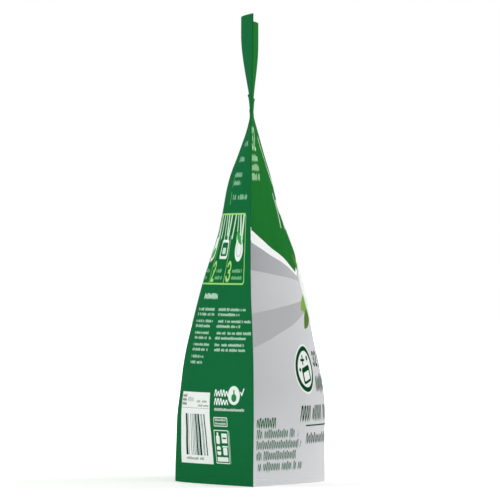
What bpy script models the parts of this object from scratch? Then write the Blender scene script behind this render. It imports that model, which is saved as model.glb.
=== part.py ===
"""A filled, sealed stand-up pouch of printed film, as one closed solid.

The pouch stands on its base. Width runs along X, depth along Y with the front panel towards -Y, height
along +Z, and the origin is the middle of the base. Depths are counted from the plane y = 0, forwards as
positive numbers.
"""

from math import hypot, pi, sin

import bmesh
import bpy

MM = 0.001

# The film, laid flat
PANEL_WIDTH = 229 * MM
PANEL_HEIGHT = 292 * MM
SIDE_SEAL = 5 * MM
SEALED_THICKNESS = 0.8 * MM

# The filled body: height, how far the front panel swells forwards and the back panel backwards at mid-width
BODY_STATIONS = [
    (0 * MM, 47.4 * MM, 47.4 * MM),
    (40 * MM, 47.3 * MM, 46.4 * MM),
    (63 * MM, 45.5 * MM, 43.3 * MM),
    (86 * MM, 41.2 * MM, 39.5 * MM),
    (109 * MM, 37.3 * MM, 34.7 * MM),
    (132 * MM, 31.4 * MM, 28.1 * MM),
    (155 * MM, 24.4 * MM, 20.8 * MM),
    (178 * MM, 16.8 * MM, 16.2 * MM),
    (193 * MM, 13.2 * MM, 12.5 * MM),
    (208 * MM, 8.7 * MM, 7.1 * MM),
    (223 * MM, 4.5 * MM, 1.9 * MM),
    (233 * MM, 1.7 * MM, -0.5 * MM),
]

# A panel's outline in plan runs from the seals to a rounded crest: height, and the crest's roundness.
# The base is pulled nearly straight between its corners, and the filling rounds the body above it.
CREST_STATIONS = [
    (0 * MM, 0.28),
    (30 * MM, 0.6),
    (60 * MM, 1.8),
    (130 * MM, 1.5),
]

# Where the side seals lie, forwards of the middle plane. Above the neck the header follows them.
SEAM_STATIONS = [
    (0 * MM, 2.0 * MM),
    (45 * MM, 2.3 * MM),
    (70 * MM, 2.2 * MM),
    (92 * MM, 1.7 * MM),
    (115 * MM, 0.8 * MM),
    (140 * MM, 0.4 * MM),
    (222 * MM, 0.5 * MM),
    (235 * MM, 1.0 * MM),
    (256 * MM, 0.4 * MM),
    (278 * MM, -0.1 * MM),
]

# The header above the neck is a flat double film that waves from side to side
WAVE_DEPTH = 5.1 * MM
WAVE_LENGTH = 205 * MM
WAVE_START = 228 * MM
WAVE_FULL = 280 * MM

# The press-to-close strip swells the neck, with a lip along each edge of its band
STRIP_LOW = 233.4 * MM
STRIP_HIGH = 243.0 * MM
STRIP_SWELL = 0.6 * MM
STRIP_LIP = 0.3 * MM
STRIP_SLOPE = 1.0 * MM

# The base: a skirt stands on the floor all round, and the gusset web hangs inside it
SKIRT_THICKNESS = 0.8 * MM
SKIRT_HEIGHT = 6 * MM
CORNER_HEIGHT = 26 * MM
FLAT_SHARE = 0.45
CORNER_SHARE = 0.5
CLOSED_COLUMNS = 2

# How finely the form is divided
COLUMNS = 30
BASE_STEPS = 12
BODY_ROW = 12.4 * MM
BODY_ROWS = 17
NECK_ROWS = [
    219 * MM,
    225 * MM,
    229 * MM,
    STRIP_LOW - STRIP_SLOPE,
    STRIP_LOW,
    STRIP_LOW + STRIP_SLOPE,
    STRIP_HIGH - STRIP_SLOPE,
    STRIP_HIGH,
    STRIP_HIGH + STRIP_SLOPE,
]
HEADER_ROWS = 7


def step_up(low, high, value):
    """0 below low and 1 above high, with a smooth rise between."""
    share = min(max((value - low) / (high - low), 0), 1)
    return share * share * (3 - 2 * share)


def follow(stations, height, column):
    """Reads one column of a list of stations at a height, on a smooth curve that never swings past one."""
    places = [station[0] for station in stations]
    values = [station[column] for station in stations]
    if height >= places[-1]:
        return values[-1]
    steps = [high - low for low, high in zip(places, places[1:])]
    rises = [(b - a) / step for a, b, step in zip(values, values[1:], steps)]
    slopes = [0.0]
    for below, above in zip(rises, rises[1:]):
        slopes.append(2 * below * above / (below + above) if below * above > 0 else 0.0)
    slopes.append(rises[-1])
    k = max(index for index, place in enumerate(places[:-1]) if place <= height)
    t = (height - places[k]) / steps[k]
    start = (1 + 2 * t) * (1 - t) ** 2 * values[k] + t * (1 - t) ** 2 * steps[k] * slopes[k]
    end = t * t * (3 - 2 * t) * values[k + 1] + t * t * (t - 1) * steps[k] * slopes[k + 1]
    return start + end


def fullness(share, crest):
    """How much of its full swell a panel has at this share of the way across: 0 at the seals, 1 midway."""
    across = abs(2 * share - 1)
    return 1 - (hypot(across, crest) - crest) / (hypot(1, crest) - crest)


def chord_of(depth, crest):
    """The straight width left to a panel that swells by this depth, because the film doesn't stretch."""
    film = PANEL_WIDTH - 2 * SIDE_SEAL
    chord = film
    parts = 200
    for _ in range(12):
        step = chord / parts
        length = 0.0
        for index in range(parts):
            low = depth * fullness(index / parts, crest)
            high = depth * fullness((index + 1) / parts, crest)
            length += hypot(step, high - low)
        chord += film - length
    return chord


def strip_swell(height):
    """How far the press-to-close strip pushes each film out at a height."""
    band = step_up(STRIP_LOW - 4 * STRIP_SLOPE, STRIP_LOW, height)
    band *= 1 - step_up(STRIP_HIGH, STRIP_HIGH + STRIP_SLOPE, height)
    lips = 0.0
    for edge in (STRIP_LOW, STRIP_HIGH):
        lips = max(lips, 1 - abs(height - edge) / STRIP_SLOPE)
    return STRIP_SWELL * band + STRIP_LIP * lips


def depths_at(height):
    """(seam, front, back): the middle plane at the seals, and each panel's outer face at mid-width."""
    half = SEALED_THICKNESS / 2
    seam = follow(SEAM_STATIONS, height, 1)
    if height < BODY_STATIONS[-1][0]:
        return seam, follow(BODY_STATIONS, height, 1), follow(BODY_STATIONS, height, 2)
    return seam, seam + half, half - seam


def wave(x, height):
    """How far forwards the header's wave carries the film."""
    return WAVE_DEPTH * step_up(WAVE_START, WAVE_FULL, height) * sin(2 * pi * x / WAVE_LENGTH)


def ring(height):
    """The outline at a height, as (front points, back points), each from one side seal to the other."""
    half = SEALED_THICKNESS / 2
    seam, front, back = depths_at(height)
    crest = follow(CREST_STATIONS, height, 1)
    chord = chord_of(max(0, (front + back) / 2 - half), crest)
    swell = strip_swell(height)
    places = [(-chord / 2 - SIDE_SEAL, 0.0)]
    places += [(chord * (k / COLUMNS - 0.5), fullness(k / COLUMNS, crest)) for k in range(COLUMNS + 1)]
    places += [(chord / 2 + SIDE_SEAL, 0.0)]
    fronts, backs = [], []
    for x, full in places:
        forward = wave(x, height)
        pushed = swell * min(1, 4 * full)
        ahead = seam + half + (front - seam - half) * full + pushed + forward
        behind = half - seam + (back + seam - half) * full + pushed - forward
        fronts.append((x, -ahead, height))
        backs.append((x, behind, height))
    return fronts, backs


def row_heights():
    rows = [BODY_ROW * index for index in range(BODY_ROWS + 1)] + NECK_ROWS
    low = NECK_ROWS[-1]
    rows += [low + (PANEL_HEIGHT - low) * index / HEADER_ROWS for index in range(1, HEADER_ROWS + 1)]
    return rows


def gusset_height(column, across):
    """How high the gusset web hangs above the floor, across from -1 at the back skirt to 1 at the front."""
    if column <= CLOSED_COLUMNS or column >= COLUMNS - CLOSED_COLUMNS:
        return 0.0
    nearness = 1 - fullness(column / COLUMNS, CREST_STATIONS[0][1])
    sealed = SKIRT_HEIGHT + (CORNER_HEIGHT - SKIRT_HEIGHT) * nearness
    lowest = CORNER_HEIGHT * step_up(CORNER_SHARE, 1, nearness)
    return lowest + (sealed - lowest) * step_up(FLAT_SHARE, 1, abs(across))


def base_column(column, front, back):
    """The base's points under one column, from the front skirt's foot to the back skirt's foot."""
    x, ahead, _ = front
    behind = back[1]
    middle = (ahead + behind) / 2
    half = (behind - ahead) / 2
    inner = half - min(SKIRT_THICKNESS, half / 4)
    points = [(x, middle - inner, 0.0)]
    for step in range(BASE_STEPS + 1):
        across = 1 - 2 * step / BASE_STEPS
        points.append((x, middle - inner * across, gusset_height(column, across)))
    points.append((x, middle + inner, 0.0))
    return points


def film_material():
    material = bpy.data.materials.new("printed_film")
    material.use_nodes = True
    shader = material.node_tree.nodes["Principled BSDF"]
    shader.inputs["Base Color"].default_value = (0.012, 0.168, 0.054, 1)
    shader.inputs["Roughness"].default_value = 0.35
    shader.inputs["Metallic"].default_value = 0.0
    material.diffuse_color = (0.012, 0.168, 0.054, 1)
    return material


def quad(mesh, corners):
    """Adds a face on the corners that differ, in order."""
    kept = []
    for corner in corners:
        if corner not in kept:
            kept.append(corner)
    mesh.faces.new(kept)


def build_pouch():
    mesh = bmesh.new()
    rings = []
    for height in row_heights():
        fronts, backs = ring(height)
        rings.append(([mesh.verts.new(p) for p in fronts], [mesh.verts.new(p) for p in backs]))

    # The two panels and the side seals' outer edges, row by row
    for (low_front, low_back), (high_front, high_back) in zip(rings, rings[1:]):
        for k in range(len(low_front) - 1):
            quad(mesh, [low_front[k], low_front[k + 1], high_front[k + 1], high_front[k]])
            quad(mesh, [low_back[k + 1], low_back[k], high_back[k], high_back[k + 1]])
        quad(mesh, [low_back[0], low_front[0], high_front[0], high_back[0]])
        quad(mesh, [low_front[-1], low_back[-1], high_back[-1], high_front[-1]])

    # The header's top edge
    top_front, top_back = rings[-1]
    for k in range(len(top_front) - 1):
        quad(mesh, [top_front[k], top_front[k + 1], top_back[k + 1], top_back[k]])

    # The base, column by column, from the front skirt under the gusset to the back skirt
    foot_front, foot_back = rings[0]
    columns = []
    for k in range(COLUMNS + 1):
        front, back = foot_front[k + 1], foot_back[k + 1]
        hung = [mesh.verts.new(point) for point in base_column(k, front.co, back.co)]
        columns.append([front] + hung + [back])
    for near, far in zip(columns, columns[1:]):
        for k in range(len(near) - 1):
            quad(mesh, [near[k], near[k + 1], far[k + 1], far[k]])
    mesh.faces.new([foot_front[0], foot_back[0]] + columns[0][::-1])
    mesh.faces.new([foot_back[-1], foot_front[-1]] + columns[-1])

    bmesh.ops.remove_doubles(mesh, verts=mesh.verts[:], dist=0.001 * MM)
    bmesh.ops.recalc_face_normals(mesh, faces=mesh.faces[:])
    data = bpy.data.meshes.new("pouch")
    mesh.to_mesh(data)
    mesh.free()
    data.shade_smooth()
    data.set_sharp_from_angle(angle=0.6)
    data.materials.append(film_material())
    pouch = bpy.data.objects.new("pouch", data)
    bpy.context.scene.collection.objects.link(pouch)


for leftover in list(bpy.data.objects):
    bpy.data.objects.remove(leftover, do_unlink=True)
build_pouch()
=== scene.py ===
# %% [markdown]
# # A filled stand-up pouch of printed film
# The real bag is three sheets, called webs: a front, a back and a bottom gusset, heat-sealed along their
# edges and filled with wash pods. This lesson prints each web flat and then bends it round the filling,
# which is the order a pouch machine works in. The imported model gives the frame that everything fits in.

# %% Load the frame
import functools
import math

import bpy
import numpy as np
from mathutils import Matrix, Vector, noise


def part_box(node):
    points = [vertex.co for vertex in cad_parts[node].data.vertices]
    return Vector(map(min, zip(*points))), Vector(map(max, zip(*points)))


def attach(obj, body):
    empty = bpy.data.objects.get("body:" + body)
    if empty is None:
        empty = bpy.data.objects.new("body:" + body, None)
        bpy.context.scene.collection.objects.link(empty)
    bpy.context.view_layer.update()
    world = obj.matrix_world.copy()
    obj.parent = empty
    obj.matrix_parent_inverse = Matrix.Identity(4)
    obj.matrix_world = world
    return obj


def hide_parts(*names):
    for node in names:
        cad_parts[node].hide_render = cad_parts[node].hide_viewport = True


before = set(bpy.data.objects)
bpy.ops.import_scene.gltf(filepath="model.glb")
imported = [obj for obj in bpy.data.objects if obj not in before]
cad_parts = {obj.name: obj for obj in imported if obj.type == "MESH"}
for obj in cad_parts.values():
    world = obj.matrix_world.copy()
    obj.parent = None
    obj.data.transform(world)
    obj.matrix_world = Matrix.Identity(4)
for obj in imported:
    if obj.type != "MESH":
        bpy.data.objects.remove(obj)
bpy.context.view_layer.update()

MM = 0.001
lowest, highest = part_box("pouch")
FILM_WIDTH = (highest.x - lowest.x) / MM
FILM_HEIGHT = (highest.z - lowest.z) / MM
MIDDLE = FILM_WIDTH / 2
print("film", round(FILM_WIDTH, 2), "by", round(FILM_HEIGHT, 2), "mm")

# %% [markdown]
# ## The camera
# The photo looks straight at the pouch's side seal from far away, so a long lens stands well back and
# level. A level camera keeps upright lines upright, and its distance sets how strongly the near seal dips
# at the floor. The lens is worked out from how many pixels the pouch fills, which is surer than trying.

# %% Camera
CAMERA_DISTANCE = 3.7145
CAMERA_HEIGHT = 0.1464
PHOTO_SIDE_PX = 500
FOCAL_LENGTH_PX = 5854
SENSOR_MM = 36

bpy.ops.object.camera_add(
    location=(-CAMERA_DISTANCE, 0, CAMERA_HEIGHT),
    rotation=(math.radians(90), 0, math.radians(-90)),
)
camera = bpy.context.object
camera.data.sensor_width = SENSOR_MM
camera.data.lens = FOCAL_LENGTH_PX * SENSOR_MM / PHOTO_SIDE_PX
bpy.context.scene.camera = camera
print("lens", round(camera.data.lens, 1), "mm")

# %% [markdown]
# ## The shape that the filling gives the film
# Film bends but hardly stretches. So the width of each web stays the same at every height, and where the
# pods push it out, its two edges come nearer to each other. The stations below say how far each web is
# pushed out at mid-width. A smooth curve runs through them and never swings past one.

# %% The stations
SIDE_SEAL = 5
SEALED_THICKNESS = 0.8
# Height, how far the front web is pushed out at mid-width, and how far the back web is
BODY_STATIONS = [
    (0, 47.4, 47.4), (40, 47.3, 46.4), (63, 45.5, 43.3), (86, 41.2, 39.5), (109, 37.3, 34.7),
    (132, 31.4, 28.1), (155, 24.4, 20.8), (178, 16.8, 16.2), (193, 13.2, 12.5), (208, 8.7, 7.1),
    (223, 4.5, 1.9), (233, 1.7, -0.5),
]
# Height, and how round the crest is: small is a straight wall with a tight corner
CREST_STATIONS = [(0, 0.28), (30, 0.6), (60, 1.8), (130, 1.5)]
# Height, and how far forwards of the middle plane the side seals lie
SEAM_STATIONS = [
    (0, 2.0), (45, 2.3), (70, 2.2), (92, 1.7), (115, 0.8), (140, 0.4),
    (222, 0.5), (235, 1.0), (256, 0.4), (278, -0.1),
]


def step_up(low, high, value):
    """0 below low and 1 above high, with a smooth rise between."""
    share = np.clip((value - low) / (high - low), 0, 1)
    return share * share * (3 - 2 * share)


def follow(stations, height, column=1):
    """Reads one column of a list of stations at a height, on a smooth curve that never swings past one."""
    places = [station[0] for station in stations]
    values = [station[column] for station in stations]
    if height >= places[-1]:
        return values[-1]
    steps = [high - low for low, high in zip(places, places[1:])]
    rises = [(b - a) / step for a, b, step in zip(values, values[1:], steps)]
    slopes = [0.0]
    for below, above in zip(rises, rises[1:]):
        slopes.append(2 * below * above / (below + above) if below * above > 0 else 0.0)
    slopes.append(rises[-1])
    k = max(index for index, place in enumerate(places[:-1]) if place <= height)
    t = (height - places[k]) / steps[k]
    start = (1 + 2 * t) * (1 - t) ** 2 * values[k] + t * (1 - t) ** 2 * steps[k] * slopes[k]
    end = t * t * (3 - 2 * t) * values[k + 1] + t * t * (t - 1) * steps[k] * slopes[k + 1]
    return start + end


print("depth at 100 mm up:", round(follow(BODY_STATIONS, 100, 1) + follow(BODY_STATIONS, 100, 2), 1), "mm")

# %% [markdown]
# ## One section of the pouch
# Seen from above, each web runs from a flat side seal to a rounded crest and back. The section is first
# drawn as many short steps, and its chord is then drawn in until the steps add up to the film's real
# width. The header above the neck has no filling, and it only waves from side to side.

# %% Sections
WAVE_DEPTH = 5.1
WAVE_LENGTH = 205
WAVE_START = 228
WAVE_FULL = 280
STRIP_LOW = 233.4
STRIP_HIGH = 243.0
STRIP_SWELL = 0.6
STRIP_LIP = 0.3
STRIP_SLOPE = 1.0
STRIP_FADE = 4
SECTION_STEPS = 300
CHORD_ROUNDS = 12


def fullness(share, crest):
    """How much of its full swell a web has at this share of the way across."""
    across = np.abs(2 * share - 1)
    return 1 - (np.hypot(across, crest) - crest) / (math.hypot(1, crest) - crest)


def strip_swell(height):
    """How far the press-to-close strip pushes each film out at a height."""
    band = step_up(STRIP_LOW - STRIP_FADE * STRIP_SLOPE, STRIP_LOW, height)
    band *= 1 - step_up(STRIP_HIGH, STRIP_HIGH + STRIP_SLOPE, height)
    lips = max(max(0, 1 - abs(height - edge) / STRIP_SLOPE) for edge in (STRIP_LOW, STRIP_HIGH))
    return STRIP_SWELL * band + STRIP_LIP * lips


@functools.cache
def section(height, side):
    """One web's line at a height, from the near seal to the far one: film length, x and y. The side is 1
    for the front web and -1 for the back one. Each section is worked out once and kept."""
    half = SEALED_THICKNESS / 2
    seam = follow(SEAM_STATIONS, height)
    depths = (seam + half, half - seam)
    if height < BODY_STATIONS[-1][0]:
        depths = (follow(BODY_STATIONS, height, 1), follow(BODY_STATIONS, height, 2))
    depth = max(0, sum(depths) / 2 - half)
    shares = np.linspace(0, 1, SECTION_STEPS + 1)
    full = fullness(shares, follow(CREST_STATIONS, height))
    film = FILM_WIDTH - 2 * SIDE_SEAL
    chord = film
    for _ in range(CHORD_ROUNDS):
        chord += film - np.hypot(np.diff(shares) * chord, np.diff(full) * depth).sum()
    x = chord * (shares - 0.5)
    x = np.concatenate([[x[0] - SIDE_SEAL], x, [x[-1] + SIDE_SEAL]])
    full = np.concatenate([[0], full, [0]])
    edge = half + side * seam
    swing = WAVE_DEPTH * step_up(WAVE_START, WAVE_FULL, height) * np.sin(2 * math.pi * x / WAVE_LENGTH)
    out = edge + (depths[0 if side == 1 else 1] - edge) * full
    out += strip_swell(height) * np.minimum(1, STRIP_FADE * full) + side * swing
    lengths = np.concatenate([[0], np.cumsum(np.hypot(np.diff(x), np.diff(out)))])
    return lengths * FILM_WIDTH / lengths[-1], x, -side * out


for height in (0, 100, 250):
    _, xs, ys = section(height, 1)
    print("at", height, "mm the front is", round(np.ptp(xs), 1), "wide and", round(np.ptp(ys), 1), "deep")

# %% [markdown]
# ## A flat web with its two maps
# A grid is the natural start for a sheet. Its lines lie closer where the film bends sharply: at the seals,
# the foot and the press-to-close strip. Each point's flat place in millimetres is kept in a map called film
# before anything bends, and the print reads that map, so the ink stays on the film. A second map holds the
# same layout from 0 to 1, for baking the print.

# %% Flat webs
BAKE_SHARE = 0.98


def lines(*runs):
    """Places along a web: each run is (end, number of steps), and the first starts at 0."""
    places = [0.0]
    for end, count in runs:
        places += list(np.linspace(places[-1], end, count + 1)[1:])
    return np.array(places)


def both_ways(places, length):
    """Repeats places from one edge of a web at the other edge too, in mirror image."""
    return np.unique(np.round(np.concatenate([places, length - places]), 4))


def flat_web(name, columns, rows):
    """A grid laid flat, with its lines at these places in millimetres."""
    bpy.ops.object.select_all(action="DESELECT")
    bpy.ops.mesh.primitive_grid_add(x_subdivisions=len(columns) - 1, y_subdivisions=len(rows) - 1, size=1)
    web = bpy.context.object
    web.name = web.data.name = name
    points = np.array([vertex.co for vertex in web.data.vertices])
    steps = np.rint((points[:, :2] + 0.5) * (len(columns) - 1, len(rows) - 1)).astype(int)
    flat = np.stack([columns[steps[:, 0]], rows[steps[:, 1]]], axis=1)
    corners = np.array([loop.vertex_index for loop in web.data.loops])
    while web.data.uv_layers:
        web.data.uv_layers.remove(web.data.uv_layers[0])
    film = web.data.uv_layers.new(name="film")
    film.data.foreach_set("uv", flat[corners].ravel())
    bake = web.data.uv_layers.new(name="OFBake")
    bake.data.foreach_set("uv", (BAKE_SHARE * flat[corners] / (columns[-1], rows[-1])).ravel())
    print(name, len(columns) - 1, "by", len(rows) - 1, "cells")
    return web, flat


def place_points(web, points):
    """Moves a web's points to these places, given in millimetres."""
    web.data.vertices.foreach_set("co", (np.array(points) * MM).ravel())
    web.data.update()


# %% [markdown]
# ## Bending a web round the filling
# Every point keeps its height and slides along the section until the film behind it has its flat length.
# Real film also gathers in fine puckers where a flat seal meets a swelled wall, and the loose pods press it
# into very shallow dents. A cloth simulation wouldn't keep the outline that the photo gives, so a fixed
# noise draws both here.

# %% Bend a web
PUCKER_DEPTH = 0.28
PUCKER_LENGTH = 60
PUCKER_SPACING = 11
PUCKER_REACH = 9
PUCKER_START = 3
DENT_DEPTH = 1.0
DENT_SIZE = 26
# The heights over which puckers and dents set in and then fade, and how far in from a seal the dents set in
FILLED_FROM = (8, 40)
FILLED_TO = (185, 225)
DENTED_FROM = (6, 40)
# Each web reads the noise in its own place, so that the two don't mirror each other
PUCKER_SHIFT = 7
DENT_SHIFT = 5


def unevenness(along, height, side):
    """How far out the film stands from its smooth section, in millimetres, at one point."""
    from_seal = min(along, FILM_WIDTH - along) - SIDE_SEAL
    if from_seal <= 0:
        return 0.0
    filled = step_up(*FILLED_FROM, height) * (1 - step_up(*FILLED_TO, height))
    spot = (side * PUCKER_SHIFT + along / PUCKER_LENGTH, height / PUCKER_SPACING * 2, 0.5)
    fading = math.exp(-from_seal / PUCKER_REACH) * min(1, from_seal / PUCKER_START)
    pucker = noise.noise(spot) * PUCKER_DEPTH * fading * 2
    dent = noise.noise((along / DENT_SIZE, height / DENT_SIZE, side * DENT_SHIFT)) * DENT_DEPTH
    return filled * (pucker + dent * step_up(*DENTED_FROM, from_seal))


def bend_web(web, flat, side):
    """Bends a flat web to its place on the pouch: the front for side 1, the back for side -1."""
    points = np.zeros((len(flat), 3))
    for height in np.unique(flat[:, 1]):
        lengths, xs, ys = section(height, side)
        row = np.flatnonzero(flat[:, 1] == height)
        along = flat[row, 0] if side == 1 else FILM_WIDTH - flat[row, 0]
        extra = np.array([unevenness(place, height, side) for place in along])
        points[row, 0] = np.interp(along, lengths, xs)
        points[row, 1] = np.interp(along, lengths, ys) - side * extra
        points[row, 2] = height
    place_points(web, points)


print("a dent stands at most", DENT_DEPTH, "mm out")

# %% [markdown]
# ## Thickness
# A Solidify modifier grows the film's thickness inwards, so the printed face stays where it is. The new
# inner face is tucked into a thin strip of the second map, where it shares no place with the outer one.
# The film is drawn thicker than real film, so that its two faces stay apart.

# %% Thicken a web
WEB_THICKNESS = 0.39
STRIP_START = 0.99
SHARP_ANGLE = 50


def thicken(web, thickness):
    """Gives a bent web its thickness, inwards, and shades it smooth."""
    outer = len(web.data.polygons)
    bpy.ops.object.select_all(action="DESELECT")
    web.select_set(True)
    bpy.context.view_layer.objects.active = web
    solid = web.modifiers.new("thickness", "SOLIDIFY")
    solid.thickness = thickness * MM
    bpy.ops.object.modifier_apply(modifier=solid.name)
    bake = web.data.uv_layers["OFBake"].data
    for face in web.data.polygons[outer : 2 * outer]:
        for corner in face.loop_indices:
            bake[corner].uv.x = STRIP_START + (1 - STRIP_START) * bake[corner].uv.x
    bpy.ops.object.shade_smooth_by_angle(angle=math.radians(SHARP_ANGLE))
    print(web.name, "has", sum(len(face.vertices) - 2 for face in web.data.polygons), "triangles")


print("the front and back webs are", WEB_THICKNESS, "mm thick")

# %% [markdown]
# ## The front and back webs
# Both webs have the same lines. The body's rows are 2 mm apart, and at the strip they are half a
# millimetre apart, because its lips are only a millimetre wide.

# %% Make the front and back webs
half_columns = lines((SIDE_SEAL, 4), (12, 6), (MIDDLE, 54))
web_columns = both_ways(half_columns, FILM_WIDTH)
web_rows = lines((10, 8), (226, 104), (246, 40), (FILM_HEIGHT, 24))

front_web, flat = flat_web("front_web", web_columns, web_rows)
bend_web(front_web, flat, 1)
thicken(front_web, WEB_THICKNESS)

back_web, flat = flat_web("back_web", web_columns, web_rows)
bend_web(back_web, flat, -1)
thicken(back_web, WEB_THICKNESS)

# %% [markdown]
# ## The gusset web
# The bottom web is folded in between the other two. Its edges are sealed to the inside of the skirt, and
# the pods' weight hangs its middle down to the floor. Near the side seals the fold climbs, which leaves the
# hollow that a stand-up pouch has under each corner. It could be modelled fold by fold, but a path that
# changes from column to column gives the same form.

# %% The gusset's path
SKIRT_HEIGHT = 6
CORNER_HEIGHT = 26
# The share of the way out from the middle at which the web starts to climb: towards a panel, and a corner
FLAT_SHARE = 0.45
CORNER_SHARE = 0.5
FLOOR_CLEARANCE = 0.02
WALL_CLEARANCE = 0.01
WALL_STEP = 0.5
WALL_HEIGHTS = np.arange(0, CORNER_HEIGHT + WALL_STEP, WALL_STEP)
HANGING_POINTS = 41


def wall_point(share, height, side):
    """A point on the inside of a web: this share of the way between the side seals, at this height."""
    _, xs, ys = section(height, side)
    x = (xs[-2] - xs[1]) * (share - 0.5)
    return x, np.interp(x, xs, ys) + side * (WEB_THICKNESS + WALL_CLEARANCE), height


def gusset_path(share):
    """The gusset web's line under one column, from the front skirt's foot to the back skirt's foot."""
    nearness = 1 - fullness(share, CREST_STATIONS[0][1])
    sealed = SKIRT_HEIGHT + (CORNER_HEIGHT - SKIRT_HEIGHT) * nearness
    lowest_point = CORNER_HEIGHT * step_up(CORNER_SHARE, 1, nearness) + FLOOR_CLEARANCE
    climb = [height for height in WALL_HEIGHTS if height <= sealed]
    front = np.array([wall_point(share, height, 1) for height in climb])
    back = np.array([wall_point(share, height, -1) for height in climb])
    ways = np.linspace(-1, 1, HANGING_POINTS)[:, None]
    hanging = front[-1] + (back[-1] - front[-1]) * (ways + 1) / 2
    rise = step_up(FLAT_SHARE, 1, np.abs(ways[:, 0]))
    hanging[:, 2] = lowest_point + (climb[-1] - lowest_point) * rise
    return np.concatenate([front[:-1], hanging, back[:-1][::-1]])


print("at mid-width the gusset's path has", len(gusset_path(0.5)), "points")

# %% [markdown]
# ### Hang the gusset web
# Each column of a flat grid is shared out along its own path. The grid's faces look up, and the face of
# the film that shows is the lower one, so the faces are flipped before the film gets its thickness.

# %% Make the gusset web
GUSSET_THICKNESS = 0.2
GUSSET_LENGTH = 110
# The share of the width at each end that the side seals take
GUSSET_END = 0.012

gusset_web, flat = flat_web("gusset_web", lines((FILM_WIDTH, 90)), lines((GUSSET_LENGTH, 70)))
points = np.zeros((len(flat), 3))
for along in np.unique(flat[:, 0]):
    path = gusset_path(GUSSET_END + (1 - 2 * GUSSET_END) * along / FILM_WIDTH)
    lengths = np.concatenate([[0], np.cumsum(np.linalg.norm(np.diff(path, axis=0), axis=1))])
    column = np.flatnonzero(flat[:, 0] == along)
    spots = flat[column, 1] / GUSSET_LENGTH * lengths[-1]
    for axis in range(3):
        points[column, axis] = np.interp(spots, lengths, path[:, axis])
    if abs(along - MIDDLE) < 1:
        print("gusset web is", round(lengths[-1], 1), "mm long at its middle")
place_points(gusset_web, points)
bpy.ops.object.mode_set(mode="EDIT")
bpy.ops.mesh.select_all(action="SELECT")
bpy.ops.mesh.flip_normals()
bpy.ops.object.mode_set(mode="OBJECT")
on_floor = [face for face in gusset_web.data.polygons if face.center.z < 2 * FLOOR_CLEARANCE * MM]
print("its floor faces look", "down" if np.mean([face.normal.z for face in on_floor]) < 0 else "up")
thicken(gusset_web, GUSSET_THICKNESS)

# %% [markdown]
# ## Inks, and one function for nodes
# Colours are written in sRGB, as they are picked on a screen, and one function turns them into the linear
# values that shaders use. Another adds a node with its settings and fills its inputs in order. Everything
# printed on this pouch is built with those two.

# %% Colour and node helpers


def ink(code):
    """A screen colour such as #1c7242 as a linear colour."""
    values = [int(code[place : place + 2], 16) / 255 for place in (1, 3, 5)]
    return (*[v / 12.92 if v <= 0.04045 else ((v + 0.055) / 1.055) ** 2.4 for v in values], 1)


def add(tree, kind, *inputs, **settings):
    """Adds a node with its settings, and fills its inputs in order. None leaves an input as it is, and a
    kind in capitals, such as ADD, is that operation of a Math node."""
    if kind.isupper():
        kind, settings["operation"] = "Math", kind
    node = tree.nodes.new("ShaderNode" + kind)
    for name, value in settings.items():
        setattr(node, name, value)
    slots = [slot for slot in node.inputs if slot.enabled]
    for slot, value in zip(slots, inputs):
        if isinstance(value, bpy.types.Node):
            value = [output for output in value.outputs if output.enabled][0]
        if isinstance(value, bpy.types.NodeSocket):
            tree.links.new(value, slot)
        elif value is not None:
            slot.default_value = value
    return node


print("field green", [round(value, 3) for value in ink("#1c7242")[:3]])

# %% [markdown]
# ## Small printing stamps
# The print is made of a few kinds of shape. Each is made once as a node group, a stamp, that takes its
# place and size in millimetres and gives a mask: 1 where there is ink and 0 where there is none. A stamp's
# edge is a quarter of a millimetre soft, as ink on film is. All of it is plain arithmetic on the place
# across the film and up it, which keeps a long print quick to render.

# %% Start a stamp
INK_EDGE = 0.13
CHANCE_SCALE = 43758.5453


def stamp(name, *labels):
    """An empty node group that takes numbers and gives a mask. Returns it, its inputs and its output."""
    tree = bpy.data.node_groups.new(name, "ShaderNodeTree")
    for label in ("Across", "Up", *labels):
        tree.interface.new_socket(label, in_out="INPUT", socket_type="NodeSocketFloat")
    tree.interface.new_socket("Mask", in_out="OUTPUT", socket_type="NodeSocketFloat")
    ends = tree.nodes.new("NodeGroupInput"), tree.nodes.new("NodeGroupOutput")
    return tree, [socket for socket in ends[0].outputs if socket.name], ends[1].inputs[0]


def length_of(tree, across, up):
    """The length of a line that goes this far across and this far up."""
    square = add(tree, "MULTIPLY", across, across)
    return add(tree, "SQRT", add(tree, "MULTIPLY_ADD", up, up, square))


def chance_from(tree, code):
    """A number between 0 and 1 that looks random, and is always the same for the same code."""
    return add(tree, "FRACT", add(tree, "MULTIPLY", add(tree, "SINE", code), CHANCE_SCALE))


def soften(tree, distance):
    """Turns a distance outside an edge, in millimetres, into a soft mask."""
    return add(tree, "MapRange", distance, INK_EDGE, -INK_EDGE, 0, 1)


print("an ink's edge is", 2 * INK_EDGE, "mm soft")

# %% [markdown]
# ### A box with round corners
# The distance to a rounded box needs only the place's distance from the middle each way, less half the
# size. A turn in radians tilts the box.

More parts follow.
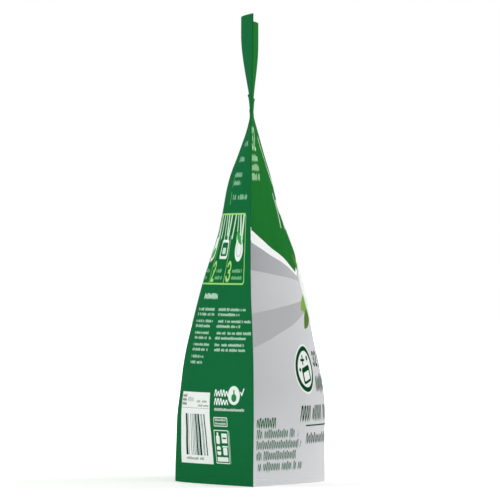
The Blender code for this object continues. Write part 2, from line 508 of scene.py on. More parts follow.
# %% Box stamp
BOX, (across, up, middle_x, middle_y, wide, tall, corner, turn), mask = stamp(
    "stamp_box", "Middle across", "Middle up", "Width", "Height", "Corner", "Turn"
)
cosine = add(BOX, "COSINE", turn)
sine = add(BOX, "SINE", turn)
dx = add(BOX, "SUBTRACT", across, middle_x)
dy = add(BOX, "SUBTRACT", up, middle_y)
level = add(BOX, "MULTIPLY_ADD", dx, cosine, add(BOX, "MULTIPLY", dy, sine))
upright = add(BOX, "SUBTRACT", add(BOX, "MULTIPLY", dy, cosine), add(BOX, "MULTIPLY", dx, sine))
beyond = []
for place, size in ((level, wide), (upright, tall)):
    edge = add(BOX, "MULTIPLY_ADD", size, -0.5, corner)
    beyond.append(add(BOX, "ADD", add(BOX, "ABSOLUTE", place), edge))
outside = length_of(BOX, *[add(BOX, "MAXIMUM", value, 0) for value in beyond])
inside = add(BOX, "MINIMUM", add(BOX, "MAXIMUM", *beyond), 0)
reach = add(BOX, "SUBTRACT", add(BOX, "ADD", outside, inside), corner)
BOX.links.new(soften(BOX, reach).outputs[0], mask)
print("box stamp has", len(BOX.nodes), "nodes")

# %% [markdown]
# ### A ring, and a pen stroke
# A ring is a circle's line with a width, and a disc is a ring whose line is as wide as its circle. A pen
# stroke is all that is near a straight line between two places. They draw the numbers and small pictures.

# %% Ring and stroke stamps
RING, (across, up, middle_x, middle_y, radius, line), mask = stamp(
    "stamp_ring", "Middle across", "Middle up", "Radius", "Line"
)
away = length_of(RING, add(RING, "SUBTRACT", across, middle_x), add(RING, "SUBTRACT", up, middle_y))
from_circle = add(RING, "ABSOLUTE", add(RING, "SUBTRACT", away, radius))
RING.links.new(soften(RING, add(RING, "MULTIPLY_ADD", line, -0.5, from_circle)).outputs[0], mask)

STROKE, (across, up, start_x, start_y, end_x, end_y, line), mask = stamp(
    "stamp_stroke", "Start across", "Start up", "End across", "End up", "Line"
)
dx = add(STROKE, "SUBTRACT", across, start_x)
dy = add(STROKE, "SUBTRACT", up, start_y)
whole_x = add(STROKE, "SUBTRACT", end_x, start_x)
whole_y = add(STROKE, "SUBTRACT", end_y, start_y)
along = add(STROKE, "MULTIPLY_ADD", dx, whole_x, add(STROKE, "MULTIPLY", dy, whole_y))
square = add(STROKE, "MULTIPLY_ADD", whole_x, whole_x, add(STROKE, "MULTIPLY", whole_y, whole_y))
share = add(STROKE, "MAXIMUM", add(STROKE, "DIVIDE", along, square), 0)
share = add(STROKE, "MINIMUM", share, 1)
gap_x = add(STROKE, "SUBTRACT", dx, add(STROKE, "MULTIPLY", whole_x, share))
gap_y = add(STROKE, "SUBTRACT", dy, add(STROKE, "MULTIPLY", whole_y, share))
reach = add(STROKE, "MULTIPLY_ADD", line, -0.5, length_of(STROKE, gap_x, gap_y))
STROKE.links.new(soften(STROKE, reach).outputs[0], mask)
print("ring and stroke stamps have", len(RING.nodes), "and", len(STROKE.nodes), "nodes")

# %% [markdown]
# ### Rows of small print
# Small print is the scribble that a layout artist uses: a pen line that rises and falls once for each
# letter. Dividing the place by the pitch gives a row number and a letter number. Chance numbers made from
# those two leave gaps, make some letters lower, and end the rows unevenly. The distance to the line is
# measured straight down and then corrected by the line's steepness.

# %% Rows stamp
LOW_LETTERS = 0.6
LOW_LETTER_SHARE = 0.66
RAGGED_SHARE = 2.4
# Steps between the codes of the chance numbers, which only have to differ
SEED_STEP = 17.31
ROW_STEP = 5.77
LETTER_STEP = 1.13
SECOND_STEP = 0.37

ROWS, given, mask = stamp(
    "stamp_rows", "Left", "Top", "Width", "Rows", "Pitch", "Height", "Letter", "Seed", "Loose", "Line"
)
across, up, left, top, wide, count, pitch, tall, letter_width, seed, loose, line = given
right_of = add(ROWS, "SUBTRACT", across, left)
row_place = add(ROWS, "DIVIDE", add(ROWS, "SUBTRACT", top, up), pitch)
row = add(ROWS, "FLOOR", row_place)
in_row = add(ROWS, "MULTIPLY", add(ROWS, "SUBTRACT", row_place, row), pitch)
letter_place = add(ROWS, "DIVIDE", right_of, letter_width)
letter = add(ROWS, "FLOOR", letter_place)
turn = add(ROWS, "MULTIPLY", add(ROWS, "SUBTRACT", letter_place, letter), 2 * math.pi)
row_code = add(ROWS, "MULTIPLY_ADD", seed, SEED_STEP, add(ROWS, "MULTIPLY", row, ROW_STEP))
letter_code = add(ROWS, "MULTIPLY_ADD", letter, LETTER_STEP, row_code)
codes = (row_code, letter_code, add(ROWS, "ADD", letter_code, SECOND_STEP))
chances = [chance_from(ROWS, code) for code in codes]
ragged = add(ROWS, "MULTIPLY", chances[0], add(ROWS, "MULTIPLY", loose, -RAGGED_SHARE))
row_length = add(ROWS, "MULTIPLY", wide, add(ROWS, "ADD", ragged, 1))
is_low = add(ROWS, "LESS_THAN", chances[2], LOW_LETTERS)
inner = add(ROWS, "SUBTRACT", tall, line)
rise = add(ROWS, "MULTIPLY", inner, add(ROWS, "MULTIPLY_ADD", is_low, LOW_LETTER_SHARE - 1, 1))
wave = add(ROWS, "MULTIPLY_ADD", add(ROWS, "COSINE", turn), -0.5, 0.5)
foot = add(ROWS, "MULTIPLY_ADD", line, -0.5, tall)
line_place = add(ROWS, "SUBTRACT", foot, add(ROWS, "MULTIPLY", wave, rise))
under_line = add(ROWS, "SUBTRACT", in_row, line_place)
steepness = add(ROWS, "DIVIDE", add(ROWS, "MULTIPLY", rise, math.pi), letter_width)
steepness = add(ROWS, "MULTIPLY", add(ROWS, "SINE", turn), steepness)
reach = add(ROWS, "DIVIDE", add(ROWS, "ABSOLUTE", under_line), length_of(ROWS, 1, steepness))
inked = soften(ROWS, add(ROWS, "MULTIPLY_ADD", line, -0.5, reach))
for test in (
    ("GREATER_THAN", chances[1], loose),
    ("GREATER_THAN", right_of, 0),
    ("LESS_THAN", right_of, row_length),
    ("GREATER_THAN", row_place, 0),
    ("LESS_THAN", row_place, count),
):
    inked = add(ROWS, "MULTIPLY", inked, add(ROWS, *test))
ROWS.links.new(inked.outputs[0], mask)
print("rows stamp has", len(ROWS.nodes), "nodes")

# %% [markdown]
# ## A printing sheet
# A sheet holds one web's node tree and the place on its film, and lays one ink over another in the order
# that a press does. Its small methods only say which stamp goes where, so the artwork below reads as a
# list of what is printed.

# %% The printing sheet


class Sheet:
    """The print of one web, built up ink by ink."""

    def __init__(self, tree, colour):
        self.tree = tree
        self.place = add(tree, "UVMap", uv_map="film").outputs[0]
        split = add(tree, "SeparateXYZ", self.place).outputs
        self.across, self.up = split[0], split[1]
        self.colour = ink(colour)

    def press(self, stamp_tree, *values):
        """Puts a stamp on the sheet."""
        return add(self.tree, "Group", self.across, self.up, *values, node_tree=stamp_tree)

    def box(self, middle, size, corner=0.3, turn=0):
        return self.press(BOX, *middle, *size, corner, turn)

    def ring(self, middle, radius, line):
        return self.press(RING, *middle, radius, line)

    def disc(self, middle, radius):
        return self.ring(middle, radius / 2, radius)

    def stroke(self, start, end, line):
        return self.press(STROKE, *start, *end, line)

    def rows(self, corner, width, count, pitch, height, letter, seed, loose=0.15, line=0.25):
        """Small print: loose is the share of gaps, and line is the pen's width as a share of the height."""
        return self.press(ROWS, *corner, width, count, pitch, height, letter, seed, loose, line * height)

    def joined(self, *masks):
        """Ink where any of the masks has ink."""
        whole = masks[0]
        for mask in masks[1:]:
            whole = add(self.tree, "MAXIMUM", whole, mask)
        return whole

    def only(self, mask, other):
        """Ink where both masks have ink."""
        return add(self.tree, "MULTIPLY", mask, other)

    def without(self, mask, other):
        """Ink where the first mask has ink and the other has none."""
        return add(self.tree, "MAXIMUM", add(self.tree, "SUBTRACT", mask, other), 0)

    def under(self, from_side, start, slope, other=None):
        """Ink below a straight edge, given by its height at the side seal and its slope. With another
        (height, slope), the edge is the higher of the two."""
        edge = add(self.tree, "MULTIPLY_ADD", from_side, slope, start)
        if other:
            second = add(self.tree, "MULTIPLY_ADD", from_side, other[1], other[0])
            edge = add(self.tree, "MAXIMUM", edge, second)
        return soften(self.tree, add(self.tree, "SUBTRACT", self.up, edge))

    def lay(self, colour, *masks):
        """Lays an ink over what is there, wherever any of the masks has ink."""
        colour = ink(colour) if isinstance(colour, str) else colour
        self.colour = add(self.tree, "Mix", self.joined(*masks), self.colour, colour, data_type="RGBA")


print("a sheet prints with", len(bpy.data.node_groups), "stamps")

# %% [markdown]
# ## Drawings that both sides use
# A number is strokes and parts of rings, a leaf is what two large discs share, and a sparkle is a ring
# round crossed strokes. Each is a function, because both sides use them in several sizes. Places are in
# millimetres from the reader's left edge and from the floor, as a ruler on the film would give them.

# %% A number, a leaf and a sparkle
DIGIT_WIDTH = 0.52
SPARKLE_LINE = 0.13
# Each arm: how far it reaches across and up, and its width, as shares of the ring's radius
SPARKLE_ARMS = ((0, 0.67, 0.18), (0.67, 0, 0.18), (0.34, 0.34, 0.1), (0.34, -0.34, 0.1))


def digit(sheet, number, left, foot, height, line):
    """A plain 1, 2 or 3 drawn with a pen."""
    wide = height * DIGIT_WIDTH
    if number == 1:
        stem = left + wide * 0.6
        return sheet.joined(
            sheet.stroke((stem, foot), (stem, foot + height), line),
            sheet.stroke((stem, foot + height), (left + wide * 0.1, foot + height * 0.76), line),
        )
    bowl = wide / 2
    bowls = []
    for middle, way in ((foot + height - bowl, 1), (foot + bowl, -1))[: number - 1]:
        right_of = sheet.box((left + bowl * 2, middle - way * bowl * 0.1), (bowl * 2.6, bowl * 2.7), 0)
        beyond = sheet.box((left + bowl, middle + way * bowl), (wide * 1.6, bowl * 2), 0)
        circle = sheet.ring((left + bowl, middle), bowl, line)
        bowls.append(sheet.only(circle, sheet.joined(right_of, beyond)))
    if number == 3:
        return sheet.joined(*bowls)
    slant = sheet.stroke((left + wide * 0.95, foot + height - bowl * 1.35), (left, foot), line)
    return sheet.joined(*bowls, slant, sheet.stroke((left, foot), (left + wide, foot), line))


def leaf(sheet, start, end, width):
    """A pointed leaf: the part that two large discs share."""
    length = math.dist(start, end)
    radius = (length**2 + width**2) / (4 * width)
    shift = (radius - width / 2) / length
    discs = []
    for way in (-1, 1):
        x = (start[0] + end[0]) / 2 + way * shift * (end[1] - start[1])
        y = (start[1] + end[1]) / 2 - way * shift * (end[0] - start[0])
        discs.append(sheet.disc((x, y), radius))
    return sheet.only(*discs)


def sparkle(sheet, middle, radius):
    """A plain ring round a star of eight arms."""
    marks = [sheet.ring(middle, radius, radius * SPARKLE_LINE)]
    for share_x, share_y, line in SPARKLE_ARMS:
        arm = (radius * share_x, radius * share_y)
        ends = (middle[0] - arm[0], middle[1] - arm[1]), (middle[0] + arm[0], middle[1] + arm[1])
        marks.append(sheet.stroke(*ends, radius * line))
    return sheet.joined(*marks)


print("a number 10 mm high is", 10 * DIGIT_WIDTH, "mm wide")

# %% [markdown]
# ## The back web's print
# The back is one dark green field. High on it, a thin frame holds three numbered steps. In each, light
# rays fall on a simple picture, a pod, a tray or a clean plate, and below it stand a number and two short
# rows of print. The steps differ only in their picture, so loops print all the rest.

# %% Print the steps
NOTE_GREEN = "#8fd29a"
LEAF_GREEN = "#3fae4e"
MINT = "#c4f0d2"
PALE = "#eefbf2"
SILVER = "#b9bec2"

# The frame of the steps: left, right, foot, top, and the width of one step
STEP_FRAME = (119.5, 215.5, 124.8, 169.3)
STEP_WIDTH = 32
# Each ray: its place in the step, how far it leans, and its width
STEP_RAYS = ((7, -4, 2.6), (14, 1, 1.8), (20, 2, 3.0), (28, -3, 3.2))


def print_step_picture(sheet, step, centre):
    """The picture of one step: a pod, a tray, or a clean plate with a leaf."""
    x, y = centre
    if step == 0:
        sheet.lay(PALE, sheet.box(centre, (13, 15), 4, 0.3))
        sheet.lay(LEAF_GREEN, sheet.box((x + 0.6, y - 2.4), (9, 6.4), 3, 0.3))
    elif step == 1:
        tray = sheet.without(sheet.box(centre, (18, 12), 2.5), sheet.box(centre, (14.5, 8.5), 1.5))
        sheet.lay(PALE, tray)
        sheet.lay(MINT, sheet.box((x, y - 1), (8, 4), 1.5))
    else:
        sheet.lay(PALE, sheet.disc(centre, 7.5))
        sheet.lay(SILVER, sheet.ring(centre, 4.4, 0.6))
        sheet.lay(LEAF_GREEN, leaf(sheet, (x - 7, y + 11), (x + 5, y + 3), 5))


def print_steps(sheet):
    left, right, foot, top = STEP_FRAME
    starts = [left + STEP_WIDTH * step for step in range(3)]
    middle = ((left + right) / 2, (foot + top) / 2)
    outer = sheet.box(middle, (right - left, top - foot), 3)
    sheet.lay("#19703c", outer)
    rays = []
    for start in starts:
        for place, lean, line in STEP_RAYS:
            low_end = (start + place + lean, top - 13 - place % 5)
            rays.append(sheet.stroke((start + place, top), low_end, line))
    sheet.lay("#d9f5dc", sheet.only(sheet.joined(*rays), outer))
    for step, start in enumerate(starts):
        print_step_picture(sheet, step, (start + 20.5, foot + 22))
    line = sheet.without(outer, sheet.box(middle, (right - left - 2, top - foot - 2), 2.2))
    dividers = [sheet.stroke((start, foot), (start, top - 14), 0.8) for start in starts[1:]]
    numbers = []
    for number, start in enumerate(starts, 1):
        numbers.append(digit(sheet, number, start + 3.2, foot + 2.6, 11.2, 2.1))
    sheet.lay("#a4e27e", line, *dividers, *numbers)
    notes = []
    for seed, start in enumerate(starts, 3):
        notes.append(sheet.rows((start + 12.5, foot + 9.8), 17, 2, 4.3, 2.2, 1.5, seed))
    sheet.lay(NOTE_GREEN, *notes)


print("the frame of the steps is", STEP_FRAME[1] - STEP_FRAME[0], "mm wide")

# %% [markdown]
# ### The white label
# A white label with bars sits low on the back. The bars could be drawn one by one. Instead the film is
# divided into strips of one width, and a chance number blackens about half of them, so they mean nothing.

# %% Print the label
DEEP_GREEN = "#0b5230"
BAR_TEAL = "#0e4a40"
BAR_WIDTH = 0.62
LABEL_MIDDLE = 157.8


def print_label(sheet):
    tree = sheet.tree
    sheet.lay("#f6fbf6", sheet.box((LABEL_MIDDLE, 35), (43.6, 44.8), 0.5))
    sheet.lay(DEEP_GREEN, sheet.rows((137.4, 56.0), 9.2, 3, 2.5, 2.0, 1.7, 5, 0, 0.34))
    sheet.lay(SILVER, sheet.rows((148.5, 54.6), 12, 1, 4, 3.0, 1.7, 8, 0.1))
    sheet.lay(DEEP_GREEN, sheet.rows((163.5, 52.4), 15, 2, 2.6, 1.3, 1.0, 9, 0.1))
    sheet.lay(SILVER, sheet.box((LABEL_MIDDLE, 47.4), (42, 0.35), 0.1))
    strip = add(tree, "FLOOR", add(tree, "MULTIPLY", sheet.across, 1 / BAR_WIDTH))
    dark = add(tree, "GREATER_THAN", chance_from(tree, strip), 0.5)
    sheet.lay(BAR_TEAL, sheet.only(dark, sheet.box((159.8, 30.8), (30, 26), 0)))
    sheet.lay(BAR_TEAL, sheet.rows((145, 16.6), 30, 1, 3, 1.7, 1.5, 12, 0.1))


print("each strip of the label is", BAR_WIDTH, "mm wide")

# %% [markdown]
# ### The small pictures
# Beside the label stand a short heading, a drop in a disc, a tick, a framed note and a frame of plain
# things: a bottle, a carton, a can and a bin. They are flat shapes of one ink, so each is a few boxes and
# strokes joined together, or one box cut out of another.

# %% Print the small pictures
BACK_GREEN = "#1a7040"


def print_small_pictures(sheet):
    sheet.lay(PALE, sheet.rows((184.8, 59.6), 15.2, 2, 5.4, 4.1, 3.0, 22, 0, 0.3))
    sheet.lay(PALE, sheet.disc((205.6, 56.1), 5.9))
    drop = sheet.joined(sheet.disc((205.6, 54.6), 2.5), sheet.stroke((205.6, 55.2), (205.6, 58.9), 1.3))
    sheet.lay("#2c8a52", drop)
    ticked = [((212.4, 58.0), (213.4, 56.4)), ((213.4, 56.4), (215.4, 60.2))]
    sheet.lay(PALE, *[sheet.stroke(*ends, 1) for ends in ticked])
    sheet.lay(PALE, sheet.rows((185, 48), 30.6, 1, 3, 1.7, 1.3, 23, 0.01))
    border = sheet.box((191.5, 39.4), (14.8, 5.8), 0.8)
    note = sheet.without(border, sheet.box((191.5, 39.4), (13.7, 4.7), 0.5))
    sheet.lay(PALE, note, sheet.rows((185.6, 41.3), 12, 2, 2.2, 1.4, 1.2, 24, 0))
    sheet.lay(PALE, sheet.box((191, 23.8), (15.6, 21), 0.8))
    sheet.lay(BACK_GREEN, sheet.box((191, 23.8), (14.5, 19.9), 0.5))
    bottle = sheet.joined(sheet.box((187.4, 28.2), (4, 5.4), 1.2), sheet.box((187.4, 31.6), (1.8, 2.4)))
    carton = sheet.without(sheet.box((194.4, 29.2), (5.6, 6), 0.4), sheet.box((194.4, 29.2), (3.8, 0.9), 0))
    can = sheet.without(sheet.box((187.4, 21.4), (4.4, 5.6), 1.4), sheet.box((187.4, 21.4), (4.4, 1), 0))
    bin_shape = sheet.joined(sheet.box((194.4, 21), (4.4, 4.6), 0.7), sheet.box((194.4, 24), (5.6, 0.9)))
    sheet.lay(PALE, bottle, carton, can, bin_shape, sheet.box((191, 16), (12.4, 2.8), 0.4))
    sheet.lay(MINT, sheet.stroke((199.7, 13.5), (199.7, 34), 0.35))


print("the back's field is", BACK_GREEN)

# %% [markdown]
# ### The small print
# Two columns of paired rows fill the lower back, and short lists stand above. Every block is the rows
# stamp with its own corner, width and seed. Blocks of one ink are joined before they are laid, because
# each laying mixes colours all over the web.

# %% Print the small print
NEAR_COLUMN = 181.5
MIDDLE_COLUMN = 141.5
FAR_COLUMN = 16
HEADING_TOP = 119.4
PRINT_TOP = 110.3
# The height and the letter width of the smallest print
PRINT_SIZE = (1.75, 1.25)


def print_small_print(sheet):
    rows = [sheet.rows((150, HEADING_TOP), 32, 1, 4, 3.3, 2.1, 36, 0.06, 0.3)]
    for pair in range(4):
        top = PRINT_TOP - 7.35 * pair
        rows.append(sheet.rows((NEAR_COLUMN, top), 42, 2, 3.15, *PRINT_SIZE, 40 + pair))
        rows.append(sheet.rows((MIDDLE_COLUMN, top), 36, 2, 3.15, *PRINT_SIZE, 50 + pair))
    rows.append(sheet.rows((MIDDLE_COLUMN, 80.7), 34, 2, 3.7, *PRINT_SIZE, 55))
    rows.append(sheet.rows((FAR_COLUMN, HEADING_TOP), 84, 1, 4, 3.3, 2.1, 32, 0.12, 0.3))
    for block in range(3):
        rows.append(sheet.rows((FAR_COLUMN, PRINT_TOP - 24 * block), 104, 5, 3.7, *PRINT_SIZE, 60 + block))
    sheet.lay("#d2f6de", *rows)
    lists = [
        sheet.rows((185, 214.2), 32, 1, 5, 3.4, 2.6, 71),
        sheet.rows((172, 204.8), 38, 1, 5, 3.4, 2.6, 72),
        sheet.rows((171.5, 194.8), 32, 2, 5, 3.0, 2.4, 74),
        sheet.rows((170.8, 181), 46, 1, 5, 3.2, 2.2, 75),
    ]
    sheet.lay("#a8dfbb", *lists)
    ticks = [sheet.stroke((168.6, foot), (168.9, foot + 7.5), 0.8) for foot in (175, 186)]
    sheet.lay("#9fe09a", *ticks)
    sheet.lay(MINT, sparkle(sheet, (64, 196), 14))
    sheet.lay(MINT, sheet.rows((30, 172), 68, 1, 9, 5.4, 3.1, 77, 0.08))
    sheet.lay(NOTE_GREEN, sheet.rows((24, 160), 92, 3, 8, 3.4, 2.3, 78, 0.12))


# All that the back web carries, in the order that it is laid
BACK_PRINT = (print_small_print, print_steps, print_label, print_small_pictures)
print("the smallest print is", PRINT_SIZE[0], "mm high")

# %% [markdown]
# ## The front web's print
# The front has a green field above and silver-grey rays below, with a white stripe between them. All its
# edges run towards one point, so each is a straight line in the film's own millimetres. The right half
# mirrors the left, and needs no edges of its own: they read the distance from the nearer side seal.

# %% Print the fields
# How high the pale wash at the foot reaches, in millimetres, and how strong it is at the floor. The wash is
# partly print and partly painted light for the dimmer light near the floor
FOOT_LIGHT_REACH = 60
FOOT_LIGHT_SHARE = 0.7
# How far from the seal the rays' painted shade reaches before it is gone, in millimetres
SEAL_SHADE_REACH = 85
# An upper edge is its height at the seal and its slope. The stripe and the first ray have a second edge,
# and the higher of the two counts. A ray's two greys are the one at the seal, darkened as painted shade,
# and the one further on.
STRIPE = (160.4, -0.325, (91.2, 0.48))
RAYS = (
    ((152.4, -0.256, (88.2, 0.48)), "#aaabae", "#c1c2c5"),
    ((134.4, -0.087), "#c9cacc", "#d6d7d9"),
    ((106.8, 0.095), "#b9babc", "#b9babd"),
    ((84.5, 0.272), "#cbccce", "#d7d8da"),
)


def print_fields(sheet):
    tree = sheet.tree
    side = add(tree, "ABSOLUTE", add(tree, "SUBTRACT", sheet.across, MIDDLE))
    from_side = add(tree, "SUBTRACT", MIDDLE, side)
    sheet.lay("#fbfdfc", sheet.under(from_side, *STRIPE))
    # The greys are painted darker towards the side seals: painted shade, not print
    seal_shade = add(tree, "MapRange", from_side, 0, SEAL_SHADE_REACH, 0, 1)
    for edge, shaded_at_seal, further in RAYS:
        grey = add(tree, "Mix", seal_shade, ink(shaded_at_seal), ink(further), data_type="RGBA").outputs[2]
        sheet.lay(grey, sheet.under(from_side, *edge))
    # A pale wash lightens the foot: partly print, and partly painted light that makes up for the dimmer
    # light near the floor
    sheet.lay("#eeeef0", add(tree, "MapRange", sheet.up, 0, FOOT_LIGHT_REACH, FOOT_LIGHT_SHARE, 0))


print(len(RAYS), "rays of grey")

# %% [markdown]
# ### The upper front
# Plain numbers and pale rows stand beside the seal, and pale lines frame a ring with a sparkle above a
# rounded bar. The framing lines come in mirrored pairs, so one side's are listed and drawn both ways.

# %% Print the upper front
BAR_MINT = "#eef8ee"
# Each framing line: its two ends, as (how far beside the middle, height), and its width
FRAMING = (((54, 216), (36, 199.8), 3.4), ((36, 199.8), (21, 188.6), 2.8), ((34.5, 181), (41, 161.5), 2.8))


def print_upper_front(sheet):
    blocks = [
        digit(sheet, 3, 9.4, 209, 12.6, 2.5),
        digit(sheet, 2, 21.4, 209, 12.6, 2.5),
        sheet.rows((7.2, 205.6), 26, 3, 5.85, 4.1, 2.3, 83, 0.02, 0.24),
    ]
    sheet.lay("#b6e2b4", *blocks)
    framing = []
    for way in (-1, 1):
        for (start_x, start_y), (end_x, end_y), width in FRAMING:
            ends = (MIDDLE + way * start_x, start_y), (MIDDLE + way * end_x, end_y)
            framing.append(sheet.stroke(*ends, width))
    sheet.lay("#e2f0e4", *framing)
    sheet.lay("#e6f6e4", sparkle(sheet, (MIDDLE, 205), 13.5))
    sheet.lay(BAR_MINT, sheet.box((MIDDLE, 173.5), (62, 9), 4.5))
    sheet.lay(BAR_MINT, sheet.rows((MIDDLE - 22, 164.5), 44, 1, 8, 5, 2.75, 86, 0, 0.2))


print("the front's middle is", MIDDLE, "mm from its edge")

# %% [markdown]
# ### The pod on the front
# The middle of the front shows a plain pod of two parts on a white disc, with leaves on both sides. It is
# laid from back to front, as a stencil printer would: leaves, disc, rim, pod and shine.

# %% Print the pod
POD_HEIGHT = 117
# Each layer of the pod: how far beside and above its middle, width, height, corner and ink
POD_LAYERS = (
    (0, 0, 27, 27, 7, "#dfe9e4"),
    (0, 0, 25, 25, 6, "#f4f9f6"),
    (0, -4.4, 20, 12.4, 5.6, "#2f9a4c"),
    (-3.6, 7.4, 9, 3, 1.5, "#b9dfc3"),
    (-4, -1.4, 7, 2, 1, "#8fd0a0"),
)


def print_pod(sheet):
    x, y = MIDDLE, POD_HEIGHT
    dark, pale = [], []
    for way in (-1, 1):
        dark.append(leaf(sheet, (x + way * 14, y - 4), (x + way * 37, y - 20), 10))
        dark.append(leaf(sheet, (x + way * 12, y + 14), (x + way * 25, y + 27), 8))
        pale.append(leaf(sheet, (x + way * 15, y), (x + way * 39, y - 8), 9))
    sheet.lay("#5d7f3a", *dark)
    sheet.lay("#86ad52", *pale)
    sheet.lay("#fbfdfb", sheet.disc((x, y), 24))
    sheet.lay("#9cc98f", sheet.ring((x, y), 21.4, 1.2))
    for beside, above, wide, tall, corner, colour in POD_LAYERS:
        sheet.lay(colour, sheet.box((x + beside, y + above), (wide, tall), corner))


print("the pod's middle is", POD_HEIGHT, "mm up")

# %% [markdown]
# ### The lower front
# A round emblem stands on the pale rays, with large rows beside and below it, a thin rule, and a block of
# small rows beside the seal. The emblem is a ring, a box cut out of a box, and a few strokes and discs.

# %% Print the lower front
EMBLEM_GREEN = "#0b4a24"
EMBLEM_MIDDLE = (67.2, 71.8)
ROW_GREEN = "#1c4d31"


def print_lower_front(sheet):
    sheet.lay("#eef3f0", sheet.disc(EMBLEM_MIDDLE, 15.6))
    sheet.lay(EMBLEM_GREEN, sheet.ring(EMBLEM_MIDDLE, 12.9, 2.9))
    body = sheet.box((68, 68.4), (13, 10.4), 1.8, 0.2)
    tub = sheet.without(body, sheet.box((68, 67.6), (9.4, 5.6), 0.8, 0.2))
    sparks = [sheet.stroke((61, 77.5), (66, 77.5), 1.5), sheet.stroke((63.5, 75), (63.5, 80), 1.5)]
    sparks += [sheet.disc((71.5, 78.6), 1.6), sheet.disc((58.6, 71.5), 1.2)]
    sheet.lay(EMBLEM_GREEN, tub, *sparks)
    heading = [digit(sheet, 3, 87, 73.9, 8, 2), digit(sheet, 2, 94.5, 73.9, 8, 2)]
    heading.append(sheet.rows((104, 82.8), 62, 1, 14.2, 10.1, 4.1, 90, 0.1, 0.2))
    heading.append(sheet.rows((85.5, 68.6), 74, 1, 14.2, 10.1, 4.1, 91, 0.04, 0.2))
    heading.append(sheet.rows((56.4, 49.0), 118, 1, 12, 8.4, 3.6, 93, 0.12, 0.2))
    sheet.lay(ROW_GREEN, *heading)
    sheet.lay(ROW_GREEN, sheet.box((MIDDLE + 4, 36.4), (106, 0.9), 0.2))
    sheet.lay("#2f4d3e", sheet.rows((67.8, 31.8), 100, 1, 10, 6.2, 3.1, 95, 0.1, 0.2))
    sheet.lay("#2c6a41", sheet.rows((7.6, 42.4), 20.4, 1, 8, 5.6, 2.55, 98, 0, 0.25))
    sheet.lay("#4f7762", sheet.rows((7.5, 35.1), 58, 4, 6.75, 5.0, 2.1, 99, 0.1, 0.2))


# All that the front web carries, in the order that it is laid
FRONT_PRINT = (print_fields, print_upper_front, print_pod, print_lower_front)
print("the emblem's middle is at", EMBLEM_MIDDLE)

# %% [markdown]
# ## Laminated film
# The film is printed inside a clear plastic layer and laminated to a metallised sealing layer. The eye
# sees a satin surface with a soft sheen in the ink's own colour, faint waves where the layers pulled, and
# fine ribs where the hot jaws closed on the seals. Clear gloss would be the first choice, but seen this
# flat it mirrors the white room and washes the ink out. So the sheen comes from a small metallic share,
# and a dark tint keeps its edges calm. Real ribs are finer than a pixel, so they are drawn 1.2 mm apart.

# %% The ribs of the seals
RIB_SPACING = 1.2
TOP_SEAL = 9


def seal_ribs(sheet):
    """Ribs where the jaws closed: both sides, the top, and the skirt, which climbs towards the corners."""
    tree = sheet.tree
    from_middle = add(tree, "ABSOLUTE", add(tree, "SUBTRACT", sheet.across, MIDDLE))
    in_side = add(tree, "GREATER_THAN", from_middle, MIDDLE - SIDE_SEAL)
    in_top = add(tree, "GREATER_THAN", sheet.up, FILM_HEIGHT - TOP_SEAL)
    ribs = add(tree, "SINE", add(tree, "MULTIPLY", sheet.up, 2 * math.pi / RIB_SPACING))
    crest = CREST_STATIONS[0][1]
    nearness = length_of(tree, add(tree, "DIVIDE", from_middle, MIDDLE), crest)
    rise = (CORNER_HEIGHT - SKIRT_HEIGHT) / (math.hypot(1, crest) - crest)
    skirt_top = add(tree, "MULTIPLY_ADD", nearness, rise, SKIRT_HEIGHT - crest * rise)
    in_skirt = add(tree, "LESS_THAN", sheet.up, skirt_top)
    sealed = add(tree, "MAXIMUM", add(tree, "MAXIMUM", in_side, in_top), in_skirt)
    return add(tree, "MULTIPLY", ribs, sealed)


print("the top seal has", int(TOP_SEAL / RIB_SPACING), "ribs")

# %% The film's material
FILM_ROUGHNESS = 0.38
METAL_SHARE = 0.15
EDGE_SHINE = (0.06, 0.06, 0.06, 1)
# In millimetres: how far apart the waves and the grain lie, and how high waves, ribs and grain stand
WAVE_SPACING = 35
GRAIN_SPACING = 1.6
WAVE_RELIEF = 0.25
RIB_RELIEF = 0.04
GRAIN_RELIEF = 0.006
TONE_RANGE = (0.965, 1.03)


def printed_film(name, colour, artwork):
    """A satin laminated film with this field colour and this artwork."""
    material = bpy.data.materials.new(name)
    material.use_nodes = True
    tree = material.node_tree
    shader = tree.nodes["Principled BSDF"]
    shader.inputs["Specular IOR Level"].default_value = 0
    shader.inputs["Metallic"].default_value = METAL_SHARE
    shader.inputs["Specular Tint"].default_value = EDGE_SHINE
    sheet = Sheet(tree, colour)
    waves = add(tree, "TexNoise", sheet.place, None, 1 / WAVE_SPACING, 2, 0.5)
    sheet.lay(colour, add(tree, "MapRange", waves, 0.3, 0.7, *TONE_RANGE))
    for print_part in artwork:
        print_part(sheet)
    tree.links.new(sheet.colour.outputs[2], shader.inputs["Base Color"])
    grain = add(tree, "TexNoise", sheet.place, None, 1 / GRAIN_SPACING, 3, 0.6)
    rough = add(tree, "MapRange", grain, 0.2, 0.8, FILM_ROUGHNESS - 0.05, FILM_ROUGHNESS + 0.07)
    tree.links.new(rough.outputs[0], shader.inputs["Roughness"])
    ribs = seal_ribs(sheet)
    relief = add(tree, "MULTIPLY", ribs, RIB_RELIEF)
    relief = add(tree, "MULTIPLY_ADD", waves, WAVE_RELIEF, relief)
    relief = add(tree, "MULTIPLY_ADD", grain, GRAIN_RELIEF, relief)
    bump = add(tree, "Bump", 1, MM, None, relief)
    tree.links.new(bump.outputs[0], shader.inputs["Normal"])
    print(name, "has", len(tree.nodes), "nodes")
    return material


print("film roughness is about", FILM_ROUGHNESS)

# %% [markdown]
# ## Finish the webs
# Each web gets its own film and rides on the pouch's one body, and together they stand for the sealed
# solid. The films differ only in field colour and artwork, so one loop finishes them. The gusset is plain.

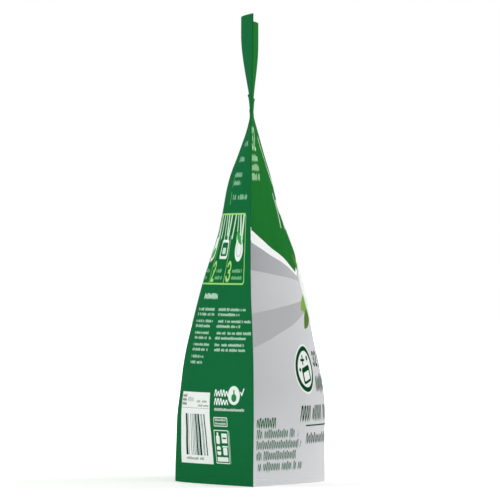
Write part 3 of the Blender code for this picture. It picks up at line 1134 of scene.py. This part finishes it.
# %% Put the film on the webs
for web, colour, artwork in (
    (front_web, "#257834", FRONT_PRINT),
    (back_web, BACK_GREEN, BACK_PRINT),
    (gusset_web, BACK_GREEN, ()),
):
    web.data.materials.clear()
    web.data.materials.append(printed_film(web.name + "_laminated_film", colour, artwork))
    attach(web, "root")
    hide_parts("pouch")

# %% [markdown]
# ## The floor
# The floor is white studio paper that catches the pouch's shadow. More light would whiten it, but would
# bleach the pouch too. Instead it glows for camera, mirror and glass rays alone: weakly beside the pouch,
# where the shadow falls, and fully further out.

# %% Floor
FLOOR_SIZE = 16
# Metres from the floor's middle where the glow is weak and where it is full, and how strong the weak one is
GLOW_NEAR = 0.15
GLOW_FAR = 0.8
WEAK_GLOW = 0.3

bpy.ops.object.select_all(action="DESELECT")
bpy.ops.mesh.primitive_plane_add(size=FLOOR_SIZE)
floor = bpy.context.object
floor.name = "studio_floor"
paper = bpy.data.materials.new("white_studio_paper")
paper.use_nodes = True
tree = paper.node_tree
shader = tree.nodes["Principled BSDF"]
shader.inputs["Base Color"].default_value = ink("#f4f4f3")
shader.inputs["Roughness"].default_value = 0.9
shader.inputs["Specular IOR Level"].default_value = 0
rays = add(tree, "LightPath").outputs
seen = add(tree, "MAXIMUM", rays["Is Camera Ray"], rays["Is Glossy Ray"])
seen = add(tree, "MAXIMUM", seen, rays["Is Transmission Ray"])
away = add(tree, "VectorMath", add(tree, "TexCoord").outputs["Object"], operation="LENGTH")
strength = add(tree, "MapRange", away, GLOW_NEAR, GLOW_FAR, WEAK_GLOW, 1)
lift = add(tree, "Emission", (1, 1, 1, 1), add(tree, "MULTIPLY", seen, strength))
whole = add(tree, "AddShader", shader, lift)
tree.links.new(whole.outputs[0], tree.nodes["Material Output"].inputs["Surface"])
floor.data.materials.append(paper)
print("floor", FLOOR_SIZE, "m wide")

# %% [markdown]
# ## The world and the lamps
# A white world fills the shadows evenly, and camera, mirror and glass rays see it as full white. Large soft
# lamps stand on each side of the pouch, beyond it and above, so that both panels are lit nearly alike.

# %% World and lamps
WORLD_FILL = 0.6
# Name, place and size in metres, and power in watts
LAMPS = [
    ("lamp_back_side", (-0.7, 1.9, 0.35), 1.4, 18),
    ("lamp_front_side", (0.9, -1.8, 0.4), 1.2, 19),
    ("lamp_far", (1.9, 0.6, 0.9), 1.2, 6),
    ("lamp_top", (0.0, 0.0, 2.2), 1.4, 5),
]

world = bpy.data.worlds.new("white_studio")
bpy.context.scene.world = world
world.use_nodes = True
tree = world.node_tree
background = tree.nodes["Background"]
background.inputs["Color"].default_value = (1, 1, 1, 1)
rays = add(tree, "LightPath").outputs
seen = add(tree, "MAXIMUM", rays["Is Camera Ray"], rays["Is Glossy Ray"])
seen = add(tree, "MAXIMUM", seen, rays["Is Transmission Ray"])
strength = add(tree, "MapRange", seen, 0, 1, WORLD_FILL, 1)
tree.links.new(strength.outputs[0], background.inputs["Strength"])

for name, place, size, power in LAMPS:
    bpy.ops.object.light_add(type="AREA", location=place)
    lamp = bpy.context.object
    lamp.name = name
    lamp.data.shape = "DISK"
    lamp.data.size = size
    lamp.data.energy = power
    to_pouch = -lamp.location
    lamp.rotation_euler = to_pouch.to_track_quat("-Z", "Y").to_euler()
print(len(LAMPS), "lamps")

bpy.context.scene.view_settings.view_transform = "Standard"
